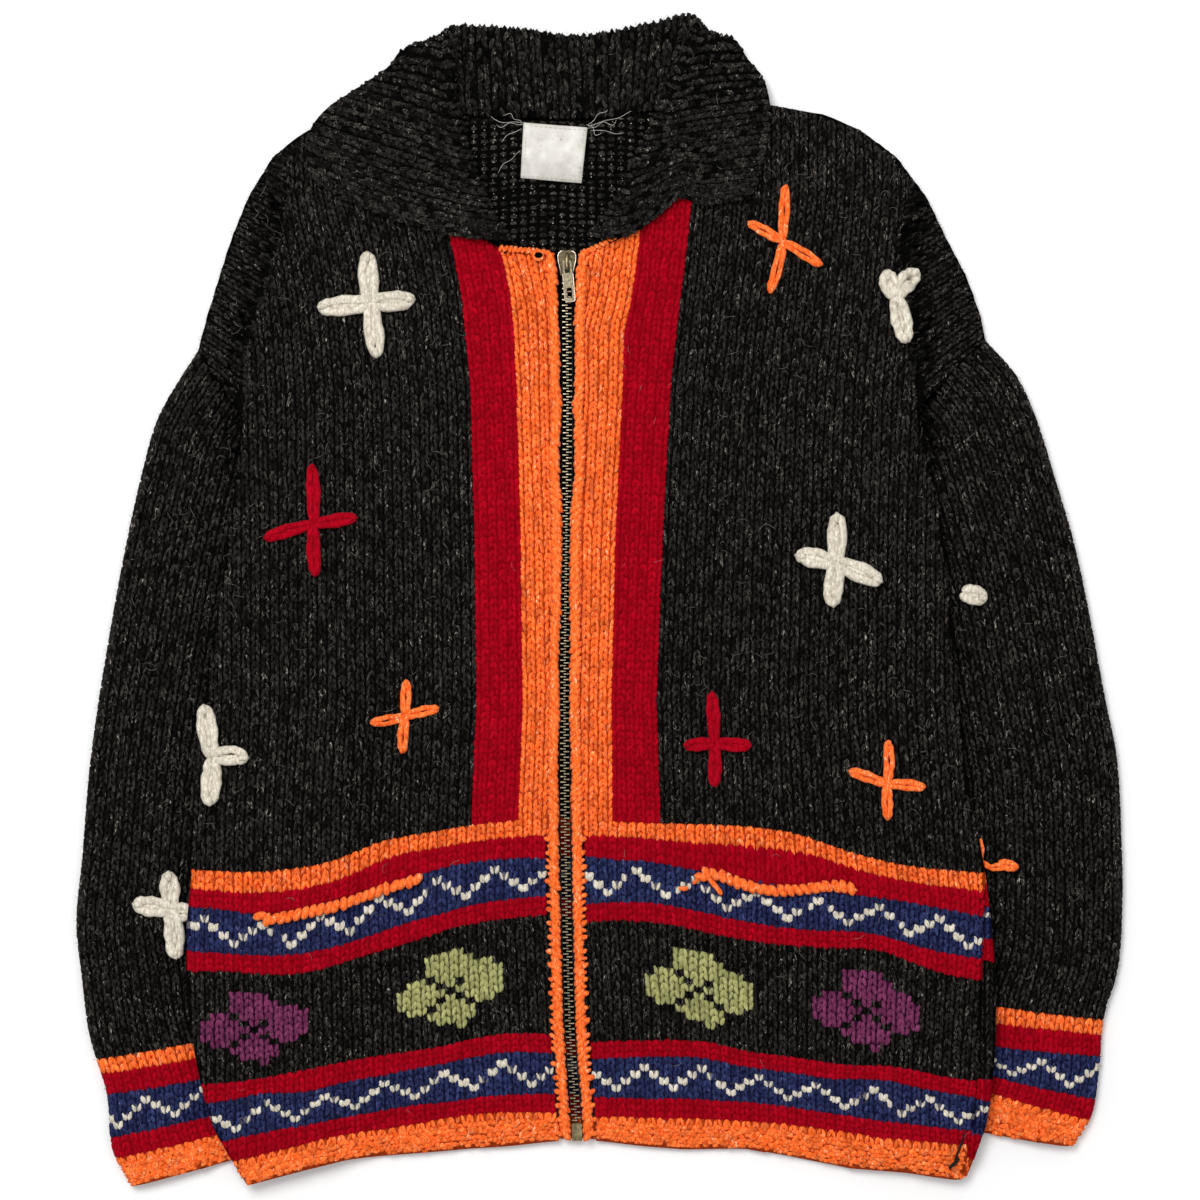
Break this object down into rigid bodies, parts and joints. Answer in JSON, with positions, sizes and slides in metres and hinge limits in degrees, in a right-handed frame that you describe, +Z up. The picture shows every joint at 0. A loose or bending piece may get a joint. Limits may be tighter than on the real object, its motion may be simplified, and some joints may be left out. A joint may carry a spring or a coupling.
{
  "type": "cardigan",
  "caption": "Hand-knit wool zip cardigan laid flat, face up: loose body, dropped shoulders, folded sleeves, wide ribbed collar, pocket slits and embroidered crosses",
  "frame": {"origin": "centre of the garment's box on the surface it lies on", "axes": "+Y runs from hem to collar, +Z up out of the fronts, +X to the right as seen from above"},
  "size_m": [0.7022, 0.7888, 0.025],
  "materials": {
    "charcoal_knit": "heathered bulky wool knit",
    "collar_knit": "ribbed bulky wool knit",
    "orange_knit": "heathered wool knit edging",
    "cream_yarn": "wool embroidery yarn",
    "red_yarn": "wool embroidery yarn",
    "tape_weave": "woven polyester zip tape",
    "label_satin": "blank satin ribbon",
    "antique_brass": "antiqued"
  },
  "bodies": {
    "body": {"back": "charcoal_knit", "collar": "collar_knit", "cross_cream_1": "cream_yarn", "cross_cream_2": "cream_yarn", "cross_cream_3": "cream_yarn", "cross_cream_4": "cream_yarn", "cross_cream_5": "cream_yarn", "cross_cream_6": "cream_yarn", "cross_orange_1": "orange_knit", "cross_orange_2": "orange_knit", "cross_orange_3": "orange_knit", "cross_orange_4": "orange_knit", "cross_red_1": "red_yarn", "cross_red_2": "red_yarn", "front_edge_left": "orange_knit", "front_edge_right": "orange_knit", "front_left": "charcoal_knit", "front_right": "charcoal_knit", "label": "label_satin", "pocket_edge_left": "orange_knit", "pocket_edge_right": "orange_knit", "sleeve_left": "charcoal_knit", "sleeve_right": "charcoal_knit", "zip_box": "antique_brass", "zip_chain": "antique_brass", "zip_slider": "antique_brass", "zip_tape_left": "tape_weave", "zip_tape_right": "tape_weave"},
    "pull": {"zip_pull": "antique_brass"}
  },
  "joints": [
    {"name": "zip_pull_hinge", "type": "hinge", "parent": "body", "child": "pull", "pos_m": [-0.02186, 0.22561, 0.01095], "axis": [-0.9962, -0.0872, 0], "range_deg": [0, 170]}
  ]
}
